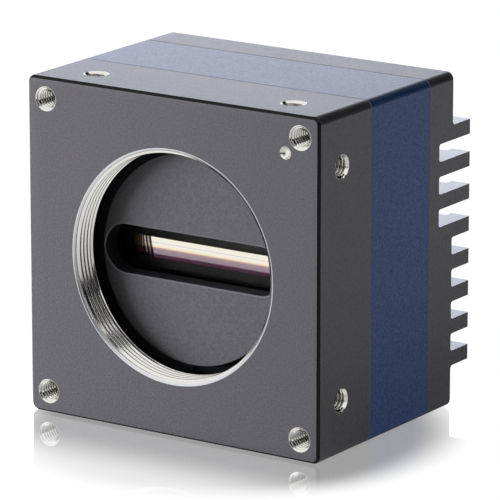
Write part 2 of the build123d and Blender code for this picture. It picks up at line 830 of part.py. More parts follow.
# Power connector pins: from the board through the insulator into the socket
with BuildPart() as power_connector_pins:
    with BuildSketch(facing_front(plug_mouth - plug_pin_setback)):
        with Locations((plug_x, connector_z)):
            with Locations(*pin_places()):
                Circle(plug_pin_radius)
    extrude(amount=plug_mouth - plug_pin_setback - io_board_rear)
power_connector_pins.part.label = "power_connector_pins"
export_step(power_connector_pins.part, "parts/power_connector_pins.step")

# Power connector nut: clamps the shell to the panel from inside
with BuildPart() as power_connector_nut:
    with BuildSketch(facing_front(panel_front)):
        with Locations((plug_x, connector_z)):
            RegularPolygon(plug_nut_width / 2, 6, major_radius=False, rotation=30)
            Circle(plug_body_radius + plug_fit_clearance, mode=Mode.SUBTRACT)
    extrude(amount=plug_nut_thickness)
power_connector_nut.part.label = "power_connector_nut"
export_step(power_connector_nut.part, "parts/power_connector_nut.step")

# Network transformer on the front of the input and output board
with BuildPart() as network_transformer:
    with BuildSketch(facing_front(io_board_front)):
        with Locations((jack_x, connector_z)):
            Rectangle(transformer_length, transformer_width)
    extrude(amount=transformer_height)
    chamfer(network_transformer.faces().sort_by(Axis.Y)[0].edges(), small_part_chamfer)
network_transformer.part.label = "network_transformer"
export_step(network_transformer.part, "parts/network_transformer.step")

# Power inductor and its two round capacitors
with BuildPart() as power_inductor:
    with BuildSketch(facing_rear(io_board_rear)):
        with Locations((-inductor_x, supply_z)):
            Rectangle(inductor_width, inductor_width)
    extrude(amount=inductor_height)
    chamfer(power_inductor.edges().filter_by(Axis.Y), small_part_chamfer)
power_inductor.part.label = "power_inductor"
export_step(power_inductor.part, "parts/power_inductor.step")

with BuildPart() as power_capacitors:
    with BuildSketch(facing_rear(io_board_rear)):
        with Locations((-capacitor_x, supply_z)):
            with GridLocations(capacitor_spacing, 0, 2, 1):
                Circle(capacitor_radius)
    extrude(amount=capacitor_height)
    chamfer(power_capacitors.faces().group_by(Axis.Y)[-1].edges(), small_part_chamfer)
power_capacitors.part.label = "power_capacitors"
export_step(power_capacitors.part, "parts/power_capacitors.step")

# Status light: lamp on the board and the clear rod that shows it on the panel
with BuildPart() as status_led:
    with BuildSketch(facing_front(led_face)):
        with Locations((light_x, light_z)):
            Rectangle(led_width, led_width)
    extrude(amount=led_height)
status_led.part.label = "status_led"
export_step(status_led.part, "parts/status_led.step")

with BuildPart() as status_light_pipe:
    with BuildSketch(facing_rear(led_face)):
        with Locations((-light_x, light_z)):
            Circle(light_pipe_radius)
    extrude(amount=body_rear + light_pipe_stand_out - led_face)
    chamfer(status_light_pipe.faces().sort_by(Axis.Y)[-1].edges(), light_pipe_chamfer)
status_light_pipe.part.label = "status_light_pipe"
export_step(status_light_pipe.part, "parts/status_light_pipe.step")
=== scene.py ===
"""Looks of a square line-scan camera: blasted and anodised aluminium, bare cut threads, sensor.

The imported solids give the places. The three housings are drawn as their own solids with rounded
edges, and the threads and holes are surfaces computed from the same sizes.
"""

import bmesh
import bpy
import numpy as np
from mathutils import Matrix, Vector


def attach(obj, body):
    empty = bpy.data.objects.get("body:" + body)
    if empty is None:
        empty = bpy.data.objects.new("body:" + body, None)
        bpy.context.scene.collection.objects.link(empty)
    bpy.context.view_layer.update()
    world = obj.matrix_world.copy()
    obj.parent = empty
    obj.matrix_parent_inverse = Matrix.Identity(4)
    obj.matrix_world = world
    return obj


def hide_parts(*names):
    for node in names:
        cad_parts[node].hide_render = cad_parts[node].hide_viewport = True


MM = 0.001

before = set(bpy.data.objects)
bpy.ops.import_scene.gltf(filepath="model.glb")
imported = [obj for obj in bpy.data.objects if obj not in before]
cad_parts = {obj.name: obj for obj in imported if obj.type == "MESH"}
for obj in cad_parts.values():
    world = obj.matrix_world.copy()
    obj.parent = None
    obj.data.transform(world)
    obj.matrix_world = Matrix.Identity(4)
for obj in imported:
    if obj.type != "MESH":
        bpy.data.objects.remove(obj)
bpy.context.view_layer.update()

# Sizes in millimetres, as the solids have them
half_width = 31.0
half_depth = 24.0
lens_thread_radius = 21.0
lens_mouth_radius = 21.45
lens_pitch = 1.0
lens_thread_depth = 5.0
recess_floor_depth = 6.5
recess_floor_radius = 19.4
recess_rear_depth = 10.0
slot_half_height = 6.0
front_depth = 16.5
sleeve_end_depth = 35.7
fin_root_depth = 43.6
corner_reach = 3.0
tapped_radius = 2.0
tapped_mouth_radius = 2.25
tapped_pitch = 0.7
corner_hole_offset = 27.0
corner_hole_depth = 7.5
side_hole_offset = 21.0
side_hole_setback = 7.1
side_hole_depth = 6.0
dowel_offset = 24.0
dowel_radius = 1.05
dowel_mouth_radius = 1.17
dowel_depth = 3.0

# Sizes in millimetres and degrees of what is only drawn here
lens_lip = 0.32
tapped_lip = 0.12
dowel_wall = 0.12
dowel_dish_slope = 55.0
drill_half_angle = 59.0
# a surface stops this far before the bottom of its hole in the solid
hole_bottom_gap = 0.02

# Distances in millimetres within which faces and edges are picked by their place: a margin keeps
# a plane itself in or out, at_depth is for what lies in a plane, and around is for a whole region
margin, at_depth, around = 0.01, 0.05, 0.1

# Height of a metric thread's ridge as a share of its pitch, and how fine each thread is drawn
ridge_height = 0.5413
lens_steps, lens_corner_steps = 480, 6
tapped_steps, tapped_corner_steps = 48, 4


# Colours and materials


def linear(hex_colour):
    """An sRGB hex colour as linear red, green, blue and an alpha of 1."""
    srgb = np.array([int(hex_colour[i : i + 2], 16) for i in (1, 3, 5)]) / 255
    values = np.where(srgb <= 0.04045, srgb / 12.92, ((srgb + 0.055) / 1.055) ** 2.4)
    return (*values.tolist(), 1.0)


def new_material(name):
    """An empty material and its node tree, ready for add()."""
    material = bpy.data.materials.new(name)
    material.use_nodes = True
    material.node_tree.nodes.clear()
    return material, material.node_tree


def add(tree, kind, settings=None, inputs=None, stops=()):
    """Adds a node.

    settings are its properties, inputs are values or the sockets that feed it, and stops are the
    (position, hex colour) pairs of a colour ramp.
    """
    node = tree.nodes.new("ShaderNode" + kind)
    for name, value in (settings or {}).items():
        setattr(node, name, value)
    for name, value in (inputs or {}).items():
        if isinstance(value, bpy.types.NodeSocket):
            tree.links.new(value, node.inputs[name])
        else:
            node.inputs[name].default_value = value
    for number, (position, colour) in enumerate(stops):
        elements = node.color_ramp.elements
        # a new ramp has two elements
        element = elements[number] if number < 2 else elements.new(1.0)
        element.position = position
        element.color = linear(colour)
    return node


def blasted_anodised(name, dark, light, roughness, ior):
    """Aluminium blasted with fine beads, then anodised and dyed: a soft sheen with a fine grain."""
    material, tree = new_material(name)
    place = add(tree, "TexCoord").outputs["Object"]
    # bead dents are about 0.1 mm wide, drawn at 0.35 mm so that they show
    dent, depth = 0.35 * MM, 0.08 * MM
    grain = add(
        tree,
        "TexNoise",
        inputs={"Vector": place, "Scale": 1 / dent, "Detail": 2.0, "Roughness": 0.8},
    ).outputs["Fac"]
    colours = add(tree, "ValToRGB", inputs={"Fac": grain}, stops=[(0.32, dark), (0.68, light)])
    bump = add(tree, "Bump", inputs={"Strength": 1.0, "Distance": depth, "Height": grain})
    shader = add(
        tree,
        "BsdfPrincipled",
        inputs={
            "Base Color": colours.outputs["Color"],
            "Roughness": roughness,
            "IOR": ior,
            "Normal": bump.outputs["Normal"],
        },
    )
    add(tree, "OutputMaterial", inputs={"Surface": shader.outputs[0]})
    return material


def plain(name, colour, metallic, roughness, **inputs):
    """One even finish with no pattern."""
    material, tree = new_material(name)
    values = {"Base Color": linear(colour), "Metallic": metallic, "Roughness": roughness}
    shader = add(tree, "BsdfPrincipled", inputs=values | inputs)
    add(tree, "OutputMaterial", inputs={"Surface": shader.outputs[0]})
    return material


# the body's faces: charcoal with a soft sheen, and a mid blue that the light turns paler
black_blasted = blasted_anodised(
    "black anodised aluminium, blasted", "#545257", "#6C6B72", 0.42, 1.54
)
blue_blasted = blasted_anodised(
    "blue anodised aluminium, blasted", "#394D81", "#5C77AE", 0.38, 1.36
)
# the two long corners along the top: painted shade, a much darker copy of the faces' colour, so
# that they stay dark from most sides; they are also a little smoother than the faces
black_corner_painted_shade = blasted_anodised(
    "black anodised aluminium, top corner with painted shade", "#2A2A2E", "#37373C", 0.36, 1.3
)
blue_corner_painted_shade = blasted_anodised(
    "blue anodised aluminium, top corner with painted shade", "#0F2B56", "#1C4375", 0.36, 1.3
)
# cut after blasting, so it is smooth and keeps no grain: darker than the faces
black_cut = plain("black anodised aluminium, cut", "#08080A", 0.0, 0.25, IOR=1.28)
# milled between the fins: smooth, so it mirrors the bright wall behind at a low angle
black_milled = plain("black anodised aluminium, milled", "#38383E", 0.0, 0.28, IOR=1.32)
# rounded edges and joint chamfers: painted highlight, smoother and much lighter than the faces, so
# that each edge shows a light line
black_edge_painted_highlight = plain("black anodised aluminium, edge with painted highlight", "#77787E", 0.0, 0.3, IOR=1.6)
blue_edge_painted_highlight = plain("blue anodised aluminium, edge with painted highlight", "#5E82B8", 0.0, 0.3, IOR=1.6)
# turned inside the recess, where the dye is deep and the tool marks scatter what light there is
black_turned = plain("black anodised aluminium, turned", "#1D1E21", 0.0, 0.75, IOR=1.25)
# the slot's walls, milled and then blasted: painted light, a paler grey than the recess that stands
# in for the light the bright die throws back onto them
black_slot_painted_light = plain("black anodised aluminium, slot wall with painted light", "#45464C", 0.0, 0.6, IOR=1.35)
# threads cut after anodising, so the metal is bare and bright
bare_cut = plain("bare aluminium, cut thread", "#E9E7E2", 1.0, 0.13)
# turned before the thread is cut: the tool marks blur what it mirrors to a bluish silver
bare_turned = plain("bare aluminium, turned", "#DFE1E6", 1.0, 0.33)
# reamed: bright, with a slight blur
bare_reamed = plain("bare aluminium, reamed", "#E6E4E0", 1.0, 0.18)
# moulded: a matt deep black
rubber = plain("nitrile rubber, moulded", "#141414", 0.0, 0.7)
# cut from a sheet of open foam: no gloss at all; painted a lighter grey than black foam, as light
# in the shaded gap at the slot's back
foam = plain("black foam, die-cut, painted lighter", "#2E2F33", 0.0, 0.9)
# headed and tumbled: a soft grey gloss
stainless = plain("stainless steel, cold-headed", "#B9B8B5", 1.0, 0.28)
# pressed and fired: matt and nearly black, so that no stray light reaches the die
ceramic = plain("black alumina ceramic, pressed", "#1A1B1D", 0.0, 0.6, IOR=1.2)
# lacquered over the weave: a smooth dark green gloss
laminate = plain("glass-epoxy board with green mask", "#0F3B22", 0.0, 0.4)
# turned, then plated: bright and slightly warm
nickel = plain("nickel-plated brass, turned", "#B8B3A6", 1.0, 0.25)
# moulded in a fine-textured tool: a dull black
black_plastic = plain("glass-filled nylon, moulded", "#111112", 0.0, 0.5)
# moulded around the chip: charcoal with a weak gloss
epoxy = plain("epoxy chip package, moulded", "#1A1A1C", 0.0, 0.55)
# cut from a soft sheet: chalky and matt
silicone_pad = plain("silicone thermal pad, cut", "#8C98A3", 0.0, 0.8)
# milled and left bare: light, with blurred mirror images
milled = plain("bare aluminium, milled", "#D5D4D1", 1.0, 0.3)
# rolled, plated and folded: the same blur, slightly yellow
tinned = plain("tin-plated sheet steel, folded", "#C4C3BE", 1.0, 0.3)
# stamped, then plated: a clear yellow gloss
gold = plain("gold-plated phosphor bronze, stamped", "#E0B45A", 1.0, 0.25)
# moulded in a polished tool: pale and glossy
clear_plastic = plain("polycarbonate, clear, moulded", "#E4E8E4", 0.0, 0.12, IOR=1.585)
# pressed and sintered: dull and dark grey
ferrite = plain("ferrite, pressed", "#26262A", 0.0, 0.6)
# drawn from sheet: silver with blurred mirror images
can = plain("aluminium can, drawn", "#CFCFD2", 1.0, 0.3)


def sensor_finish():
    """Silicon die with its colour filters: a mirror in bands across its height, pads at both ends.

    To the eye it is a long pale strip with a violet and brown shade along its lower side. The pads
    are painted darker towards both ends of the die, as shadow.
    """
    material, tree = new_material("silicon die with thin films, polished")
    place = add(tree, "TexCoord").outputs["Object"]
    split = add(tree, "SeparateXYZ", inputs={0: place})
    bands_low, bands_high = -2.4 * MM, 1.35 * MM
    share = add(
        tree,
        "MapRange",
        inputs={"Value": split.outputs["Z"], "From Min": bands_low, "From Max": bands_high},
    ).outputs["Result"]
    bands = [
        (0.00, "#42263A"),
        (0.16, "#4A2A40"),
        (0.20, "#93808A"),
        (0.42, "#9C8792"),
        (0.46, "#BC9C92"),
        (0.52, "#EBD8AE"),
        (0.58, "#EDE7D8"),
        (0.70, "#EDE9DE"),
        (0.73, "#D6CDCB"),
        (0.77, "#EDEADE"),
        (0.97, "#EBE8DA"),
        (1.00, "#C8B994"),
    ]
    colours = add(tree, "ValToRGB", inputs={"Fac": share}, stops=bands)
    # bond pads stand every 0.4 mm from 14.6 mm out, gold with brown between them
    pad_spacing, pads_start, pads_end, blur = 0.4 * MM, 14.6 * MM, 16.6 * MM, 0.1 * MM
    stripes = add(
        tree,
        "TexWave",
        {"wave_type": "BANDS", "bands_direction": "X", "wave_profile": "SIN"},
        # a wave texture repeats every pi / 10 at a scale of 1
        {"Vector": place, "Scale": np.pi / (10 * pad_spacing)},
    ).outputs["Fac"]
    out = add(tree, "Math", {"operation": "ABSOLUTE"}, {0: split.outputs["X"]}).outputs[0]
    outermost = add(
        tree, "MapRange", inputs={"Value": out, "From Min": pads_start, "From Max": pads_end}
    ).outputs["Result"]
    metal = add(
        tree, "ValToRGB", inputs={"Fac": stripes}, stops=[(0.1, "#33281F"), (0.9, "#8A6C4C")]
    )
    # painted shadow: towards both ends of the die the pads darken to nearly black, as shade
    fade = add(
        tree, "ValToRGB", inputs={"Fac": outermost}, stops=[(0.0, "#FFFFFF"), (1.0, "#1A1512")]
    )
    multiplied = {"data_type": "RGBA", "blend_type": "MULTIPLY"}
    pads = add(
        tree, "Mix", multiplied, {0: 1.0, 6: metal.outputs["Color"], 7: fade.outputs["Color"]}
    )
    at_end = add(
        tree,
        "MapRange",
        inputs={"Value": out, "From Min": pads_start - blur, "From Max": pads_start + blur},
    ).outputs["Result"]
    mixed = add(
        tree, "Mix", multiplied, {0: at_end, 6: colours.outputs["Color"], 7: pads.outputs[2]}
    )
    # the pads are dull, the silicon is a mirror
    rough = add(tree, "MapRange", inputs={"Value": at_end, "To Min": 0.03, "To Max": 0.45})
    shader = add(
        tree,
        "BsdfPrincipled",
        inputs={
            "Base Color": mixed.outputs[2],
            "Metallic": 1.0,
            "Roughness": rough.outputs["Result"],
        },
    )
    add(tree, "OutputMaterial", inputs={"Surface": shader.outputs[0]})
    return material


def window_finish():
    """Flat glass with a coating against reflections: clear, with hardly any mirror image."""
    material, tree = new_material("borosilicate glass, polished and coated")
    shader = add(
        tree,
        "BsdfPrincipled",
        inputs={
            "Base Color": linear("#FFFFFF"),
            "Roughness": 0.0,
            "IOR": 1.08,
            "Transmission Weight": 1.0,
        },
    )
    add(tree, "OutputMaterial", inputs={"Surface": shader.outputs[0]})
    return material


sensor_silicon = sensor_finish()
window_glass = window_finish()

node_finish = {
    "front_housing": black_blasted,
    "centre_sleeve": blue_blasted,
    "rear_housing": black_blasted,
    "front_seal": rubber,
    "rear_seal": rubber,
    "housing_screws": stainless,
    "light_gasket": foam,
    "sensor_window": window_glass,
    "sensor_package": ceramic,
    "sensor_die": sensor_silicon,
    "sensor_board": laminate,
    "processing_board": laminate,
    "io_board": laminate,
    "board_spacers": nickel,
    "io_spacers": nickel,
    "processing_board_screws": stainless,
    "io_board_screws": stainless,
    "sensor_link": black_plastic,
    "io_link": black_plastic,
    "processor": epoxy,
    "memory_chips": epoxy,
    "processor_pad": silicone_pad,
    "rear_wall_pad": silicone_pad,
    "heat_spreader": milled,
    "jack_shell": tinned,
    "jack_insert": black_plastic,
    "jack_contacts": gold,
    "jack_lights": clear_plastic,
    "network_transformer": epoxy,
    "power_connector_shell": nickel,
    "power_connector_insulator": black_plastic,
    "power_connector_pins": gold,
    "power_connector_nut": nickel,
    "power_inductor": ferrite,
    "power_capacitors": can,
    "status_light_pipe": clear_plastic,
    "status_led": clear_plastic,
}
for name, material in node_finish.items():
    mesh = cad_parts[name].data
    mesh.materials.clear()
    mesh.materials.append(material)


# Computed surfaces


def soft_corners(profile, radius, steps):
    """Profile with each inner corner replaced by a quadratic curve that starts radius before it.

    Point = (1-s)^2 A + 2s(1-s) P + s^2 B, where A and B lie on the two sides of corner P. On a
    side too short for two curves, each takes at most its share of 0.45.
    """
    share = 0.45
    profile = np.asarray(profile, float)
    corner = profile[1:-1]
    back = profile[:-2] - corner
    ahead = profile[2:] - corner
    back_length = np.linalg.norm(back, axis=1, keepdims=True)
    ahead_length = np.linalg.norm(ahead, axis=1, keepdims=True)
    reach = np.minimum(radius, share * np.minimum(back_length, ahead_length))
    start = (corner + back / back_length * reach)[:, None]
    end = (corner + ahead / ahead_length * reach)[:, None]
    s = np.linspace(0, 1, steps)[None, :, None]
    curve = (1 - s) ** 2 * start + 2 * s * (1 - s) * corner[:, None] + s**2 * end
    return np.vstack([profile[:1], curve.reshape(-1, 2), profile[-1:]])


def revolved(profile, steps):
    """(radius, depth) points turned about the depth axis: (r cos a, r sin a, depth)."""
    profile = np.asarray(profile, float)
    angle = np.linspace(0, 2 * np.pi, steps + 1)
    radius, depth = profile[:, :1], profile[:, 1:]
    return np.stack(
        [radius * np.cos(angle), radius * np.sin(angle), depth + 0 * angle], axis=-1
    )


def mouth(y, radius, lip):
    """Radius of a hole's mouth at depth y: a round lip of the given radius, then a 106 degree cone.

    Lip: radius - sqrt(y (2 lip - y)) while y < lip / 5. Cone: radius - lip / 3 - 4 y / 3.
    """
    arc = radius - np.sqrt(np.clip(y * (2 * lip - y), 0, None))
    return np.where(y < lip / 5, arc, radius - lip / 3 - 4 * y / 3)


def cone_end(major, mouth_radius, lip):
    """Depth at which the mouth's cone has narrowed to the thread's major radius."""
    return 0.75 * (mouth_radius - lip / 3 - major)


def inner_thread(major, pitch, mouth_radius, lip, depth, steps, corner_steps):
    """Inside of a tapped hole as a grid whose rows run along the thread.

    Row u lies at depth pitch (u + angle / full turn), held between the mouth and the thread's end,
    so that the tooth, 55 degrees between its flanks and flat at root and crest, keeps its edges on
    rows. Radius = the major radius less the tooth's height at u, or the mouth's radius where that
    is larger. Just before the thread's end the groove fills up to the height of the ridges, and a
    flat ring then leads out to the major radius.
    """
    angle = np.linspace(0, 2 * np.pi, steps + 1)[None, :]
    # both as shares of the pitch
    softening, run_out = 0.09, 0.12
    tooth = soft_corners(
        [(0, 0), (0.1, 0), (0.38, ridge_height), (0.62, ridge_height), (0.9, 0), (1, 0)],
        softening,
        corner_steps,
    )[:-1]
    turns = np.arange(-1, int(np.ceil(depth / pitch)) + 1)[:, None]
    u = (turns + tooth[:, 0]).reshape(-1, 1)
    start = cone_end(major, mouth_radius, lip)
    y = pitch * (u + angle / (2 * np.pi))
    held = np.clip(y, start, depth)
    # the groove fills up over one run-out, from three to two of them before the thread's end
    uncut = np.clip((y - depth) / (run_out * pitch) + 3, 0, 1)
    heights = np.tile(tooth[:, 1], len(turns)).reshape(-1, 1)
    ridge = pitch * np.maximum(heights, ridge_height * uncut)
    radius = np.maximum(major - ridge, mouth(held, mouth_radius, lip))
    radius = np.where((y > depth + 0.5 * pitch) | (y < start), major, radius)
    # six rows on the lip's arc, which turns by arccos 0.8 to meet the cone, and three on the cone
    turned = np.linspace(0, np.arccos(0.8), 6)
    lip_rows = lip * (1 - np.cos(turned))[:, None]
    mouth_rows = np.vstack([lip_rows, np.linspace(lip / 5, start, 4)[1:, None]])
    held = np.vstack([mouth_rows + 0 * angle, held])
    radius = np.vstack([mouth(mouth_rows, mouth_radius, lip) + 0 * angle, radius])
    return np.stack([radius * np.cos(angle), radius * np.sin(angle), held], axis=-1)


def placed(grid, origin, across, up, inward):
    """A grid of local (x, y, depth) points set at origin along three unit directions."""
    axes = np.array([across, up, inward], float)
    return grid @ axes + np.array(origin, float)


def quads(rows, columns, first):
    """Corner indices of the quads of a grid whose points start at first, row after row."""
    row = np.arange(rows - 1)[:, None]
    column = np.arange(columns - 1)[None, :]
    a = first + row * columns + column
    c = a + columns + 1
    return np.stack([a, a + 1, c, c - 1], axis=-1).reshape(-1, 4)


def piece_from_grids(name, grids, material, flip=False):
    """One mesh from grids in millimetres, welded where their points meet, riding on the body.

    flip turns the faces over, for grids whose first face looks away from the eye.
    """
    weld_distance = 0.001 * MM
    points, faces, first = [], [], 0
    for grid in grids:
        rows, columns = grid.shape[:2]
        points.append(grid.reshape(-1, 3))
        faces.append(quads(rows, columns, first))
        first += rows * columns
    points = np.vstack(points) * MM
    faces = np.vstack(faces)
    if flip:
        faces = faces[:, ::-1]
    mesh = bpy.data.meshes.new(name)
    mesh.from_pydata(points, [], faces.tolist())
    work = bmesh.new()
    work.from_mesh(mesh)
    bmesh.ops.remove_doubles(work, verts=work.verts, dist=weld_distance)
    work.to_mesh(mesh)
    work.free()
    mesh.materials.append(material)
    mesh.polygons.foreach_set("use_smooth", np.ones(len(mesh.polygons), bool))
    mesh.update()
    piece = bpy.data.objects.new(name, mesh)
    bpy.context.scene.collection.objects.link(piece)
    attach(piece, "root")
    return piece


def face_places(mesh):
    """Centre in millimetres and normal of each face of a mesh, as two arrays of rows."""
    centres = np.empty(len(mesh.polygons) * 3)
    normals = np.empty(len(mesh.polygons) * 3)
    mesh.polygons.foreach_get("center", centres)
    mesh.polygons.foreach_get("normal", normals)
    return centres.reshape(-1, 3) / MM, normals.reshape(-1, 3)


def edge_places(mesh):
    """Middle in millimetres of each edge, and the cosine between its two faces (1 at a border)."""
    points = np.empty(len(mesh.vertices) * 3)
    mesh.vertices.foreach_get("co", points)
    ends = np.empty(len(mesh.edges) * 2, int)
    mesh.edges.foreach_get("vertices", ends)
    middles = points.reshape(-1, 3)[ends.reshape(-1, 2)].mean(axis=1) / MM
    normals = face_places(mesh)[1]
    corners = np.empty(len(mesh.polygons), int)
    mesh.polygons.foreach_get("loop_total", corners)
    edge = np.empty(len(mesh.loops), int)
    mesh.loops.foreach_get("edge_index", edge)
    order = np.argsort(edge, kind="stable")
    face, edge = np.repeat(np.arange(len(corners)), corners)[order], edge[order]
    paired = edge[:-1] == edge[1:]
    cosines = np.ones(len(mesh.edges))
    one, other = normals[face[:-1][paired]], normals[face[1:][paired]]
    cosines[edge[:-1][paired]] = (one * other).sum(axis=1)
    return middles, cosines


def rounded_solid(node, rounding, materials, pick, leave_out=None, edge_number=-1):
    """The node's own solid with its triangles joined, its flat faces whole and its edges rounded.

    rounding gives the width in millimetres at each edge's middle, pick gives each face the number
    of its material, and leave_out marks the walls that a computed surface stands for. The rounded
    edges have the material of edge_number, or that of the faces beside them where it is -1. Faces
    within 0.3 degrees of each other are joined, and edges of more than 30 degrees are rounded.
    """
    flat, sharp = np.radians(0.3), np.radians(30)
    weld_distance = 0.002 * MM
    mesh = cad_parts[node].data.copy()
    work = bmesh.new()
    work.from_mesh(mesh)
    bmesh.ops.remove_doubles(work, verts=work.verts, dist=weld_distance)
    bmesh.ops.dissolve_limit(work, angle_limit=flat, verts=work.verts, edges=work.edges)
    work.to_mesh(mesh)
    if leave_out:
        work.faces.ensure_lookup_table()
        out = np.flatnonzero(leave_out(*face_places(mesh)))
        bmesh.ops.delete(work, geom=[work.faces[i] for i in out], context="FACES")
        work.to_mesh(mesh)
    work.free()
    mesh.materials.clear()
    for material in materials:
        mesh.materials.append(material)
    mesh.polygons.foreach_set("material_index", pick(*face_places(mesh)).astype(np.int32))
    mesh.polygons.foreach_set("use_smooth", np.ones(len(mesh.polygons), bool))
    middles, cosines = edge_places(mesh)
    widths = np.where(cosines < np.cos(sharp), rounding(middles), 0.0)
    weights = mesh.attributes.new("bevel_weight_edge", "FLOAT", "EDGE")
    weights.data.foreach_set("value", widths / widths.max())
    mesh.set_sharp_from_angle(angle=sharp)
    piece = bpy.data.objects.new(node + "_rounded", mesh)
    bpy.context.scene.collection.objects.link(piece)
    bevel = piece.modifiers.new("rounded edges", "BEVEL")
    bevel.width = widths.max() * MM
    bevel.segments = 3
    bevel.limit_method = "WEIGHT"
    bevel.material = edge_number
    bevel.harden_normals = True
    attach(piece, "root")
    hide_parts(node)


def hole_distance(centres):
    """Distance of each point from the axis of the nearest corner or side hole or the dowel hole.

    The dowel hole is thinner, so its distance counts as that much more. Past the bottom of a hole,
    and a spare length further, the distance is infinite.
    """
    spare, thinner = 0.5, 0.8
    x, y, z = np.abs(centres).T
    corner = np.hypot(x - corner_hole_offset, z - corner_hole_offset)
    corner = np.where(y > corner_hole_depth + spare, np.inf, corner)
    side = np.hypot(y - side_hole_setback, z - side_hole_offset)
    side = np.where(x < half_width - side_hole_depth - spare, np.inf, side)
    top = np.hypot(y - side_hole_setback, x - side_hole_offset)
    top = np.where(z < half_width - side_hole_depth - spare, np.inf, top)
    dowel = np.hypot(centres[:, 0] - dowel_offset, centres[:, 2] - dowel_offset) + thinner
    dowel = np.where(y > dowel_depth + spare, np.inf, dowel)
    return np.minimum.reduce([corner, side, top, dowel])


def bare_walls(centres, normals):
    """Faces of the front housing that the thread surfaces stand for: lens thread and holes."""
    x, y, z = centres.T
    in_lens = (np.hypot(x, z) < lens_mouth_radius) & (y < lens_thread_depth - margin)
    behind_front = y > 0.001
    in_hole = hole_distance(centres) < tapped_mouth_radius - 2 * margin
    return (in_lens & behind_front) | in_hole


def long_corners(centres, normals):
    """Whether each face belongs to one of the two rounded corners along the top.

    The top two get painted shade, a darker colour; the two along the bottom keep the faces' colour.
    """
    x, z = np.abs(centres[:, 0]), centres[:, 2]
    sideways, upwards = np.abs(normals[:, 0]), np.abs(normals[:, 2])
    turned = np.minimum(sideways, upwards) > 0.05
    return turned & (np.minimum(x, z) > half_width - corner_reach)


def chamfers(normals):
    """Whether each face is a chamfer around the body, half turned to the front or the rear."""
    turned = np.abs(normals[:, 1])
    return (turned > 0.5) & (turned < 0.9)


def cut_faces(centres, normals):
    """Material of each face of the front housing, as a place in its list of materials.

    1 for the front chamfers, 2 for the recess's turned wall, 3 for the small chamfers at the joint
    and around the round floor and its slot (painted highlight), 4 for the long corners along the
    top (painted shade), 5 for the slot (painted light).
    """
    x, y, z = centres.T
    chamfer = chamfers(normals)
    front_chamfer_end = 1.0
    rims = chamfer & (y > front_chamfer_end)
    recess = (y > lens_thread_depth - margin) & (y < recess_rear_depth + around)
    recess &= np.hypot(x, z) < lens_mouth_radius + around
    faces_front = normals[:, 1] < -0.95
    disc = recess & faces_front & (y < recess_floor_depth + 0.5)
    slot = recess & (y > recess_floor_depth + margin) & (np.abs(z) < slot_half_height)
    corners = long_corners(centres, normals)
    return np.select([rims, chamfer, slot, recess & ~disc, corners], [3, 1, 5, 2, 4], 0)


def sleeve_faces(centres, normals):
    """2 for the chamfers at the joints, with painted highlight; 1 for the top long corners, with
    painted shade; 0 elsewhere.
    """
    return np.select([chamfers(normals), long_corners(centres, normals)], [2, 1], 0)


def front_edges(middles):
    """Width of each rounded edge of the front housing: wider around the round floor and its slot.

    The edges in the joint plane stay sharp, so that the joint is a fine line.
    """
    rim_width, slot_width, joint_width, other_width = 0.16, 0.3, 0.0, 0.06
    x, y, z = middles.T
    from_axis = np.hypot(x, z)
    on_floor = (np.abs(y - recess_floor_depth) < at_depth) & (from_axis < lens_thread_radius)
    at_rim = on_floor & (from_axis > recess_floor_radius - around)
    at_joint = np.abs(y - front_depth) < at_depth
    return np.select(
        [at_rim, on_floor, at_joint], [rim_width, slot_width, joint_width], other_width
    )


def sleeve_edges(middles):
    """Width of each rounded edge of the centre sleeve: the same all over."""
    return np.full(len(middles), 0.02)


def rear_edges(middles):
    """Width of each rounded edge of the rear housing: none in the joint plane."""
    return np.where(np.abs(middles[:, 1] - sleeve_end_depth) < at_depth, 0.0, 0.1)


def rear_faces(centres, normals):
    """1 for the milled walls between the fins, 2 for the top long corners (painted shade), 3 for
    the joint chamfer (painted highlight).
    """
    y = centres[:, 1]
    faces_up_or_down = np.abs(normals[:, 2]) > 0.9
    milled_walls = (y > fin_root_depth - at_depth) & faces_up_or_down
    seam = chamfers(normals) & (y < sleeve_end_depth + 0.2)
    return np.select([milled_walls, seam, long_corners(centres, normals)], [1, 3, 2], 0)


rounded_solid(
    "front_housing",
    front_edges,
    [black_blasted, black_cut, black_turned, black_edge_painted_highlight, black_corner_painted_shade, black_slot_painted_light],
    cut_faces,
    bare_walls,
    edge_number=3,
)
rounded_solid(
    "centre_sleeve",
    sleeve_edges,
    [blue_blasted, blue_corner_painted_shade, blue_edge_painted_highlight],
    sleeve_faces,
    edge_number=2,
)
rounded_solid(
    "rear_housing",
    rear_edges,
    [black_blasted, black_milled, black_corner_painted_shade, black_edge_painted_highlight],
    rear_faces,
)

front = {"across": (1, 0, 0), "up": (0, 0, 1), "inward": (0, 1, 0)}
lens_thread = inner_thread(
    lens_thread_radius,
    lens_pitch,
    lens_mouth_radius,
    lens_lip,
    lens_thread_depth,
    lens_steps,
    lens_corner_steps,
)
thread_piece = piece_from_grids(
    "lens_thread_surface",
    [placed(lens_thread, (0, 0, 0), **front)],
    bare_cut,
    flip=True,
)
# the lip and the cone before the first ridge are turned, not cut with the thread
thread_piece.data.materials.append(bare_turned)
mouth_end = cone_end(lens_thread_radius, lens_mouth_radius, lens_lip)
on_mouth = face_places(thread_piece.data)[0][:, 1] < mouth_end
thread_piece.data.polygons.foreach_set("material_index", on_mouth.astype(np.int32))


